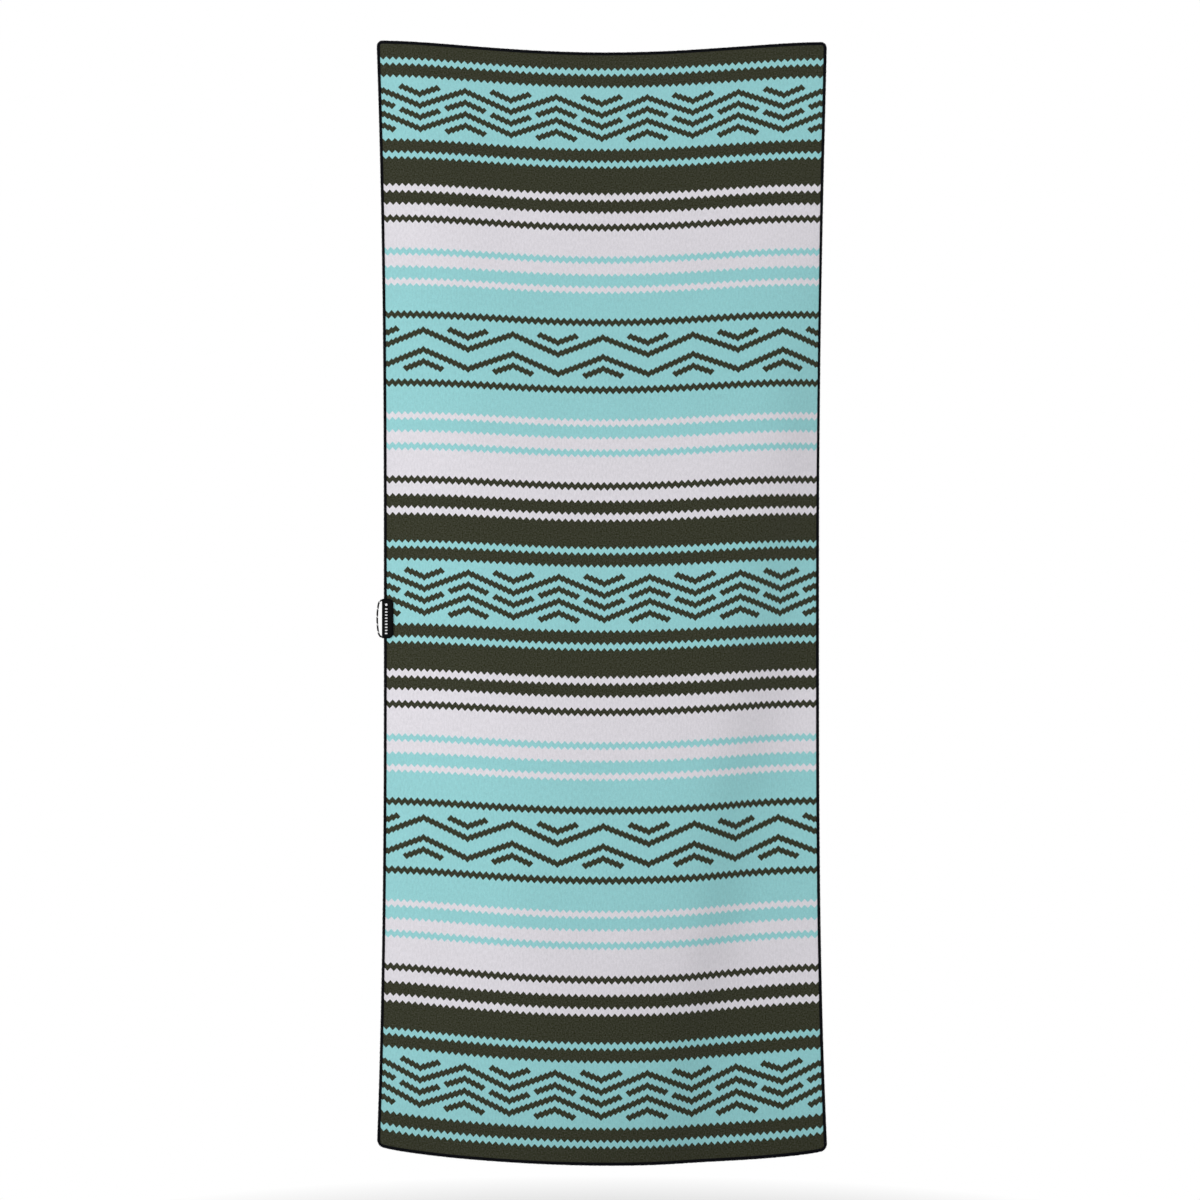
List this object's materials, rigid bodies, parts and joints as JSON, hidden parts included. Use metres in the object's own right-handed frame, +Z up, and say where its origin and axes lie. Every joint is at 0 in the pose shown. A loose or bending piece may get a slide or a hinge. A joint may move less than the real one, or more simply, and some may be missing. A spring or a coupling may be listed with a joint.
{
  "type": "quick dry towel",
  "caption": "Full-length rectangular printed microfibre towel hung by its two top corners, with overlocked edges and a rubber side label that carries a cord hang loop.",
  "frame": {"origin": "halfway between the two held top corners, on the towel's top edge", "axes": "+Z up along the towel, +X across it from the label's side, -Y out of the printed face"},
  "size_m": [0.7539, 0.0773, 1.8783],
  "materials": {
    "printed_cloth": "brushed microfibre printed in teal, white and dark olive",
    "edge_thread": "black overlock and sewing thread",
    "label_rubber": "soft matt black rubber",
    "loop_cord": "braided black cord with pale tracer ticks"
  },
  "bodies": {
    "upper_half": {"cloth_upper": "printed_cloth", "edge_binding_upper": "edge_thread"},
    "lower_half": {"cloth_lower": "printed_cloth", "edge_binding_lower": "edge_thread", "label_front": "label_rubber", "label_back": "label_rubber", "label_stitching_front": "edge_thread", "label_stitching_back": "edge_thread", "loop_tail_upper": "loop_cord", "loop_tail_lower": "loop_cord"},
    "loop": {"hang_loop": "loop_cord"}
  },
  "joints": [
    {"name": "mid_fold", "type": "hinge", "parent": "upper_half", "child": "lower_half", "pos_m": [0, -0.06, -0.85008], "axis": [-1, 0, 0], "range_deg": [0, 170]},
    {"name": "loop_swing", "type": "hinge", "parent": "lower_half", "child": "loop", "pos_m": [-0.36839, -0.01055, -0.96563], "axis": [0, 0, 1], "range_deg": [-85, 85]}
  ]
}
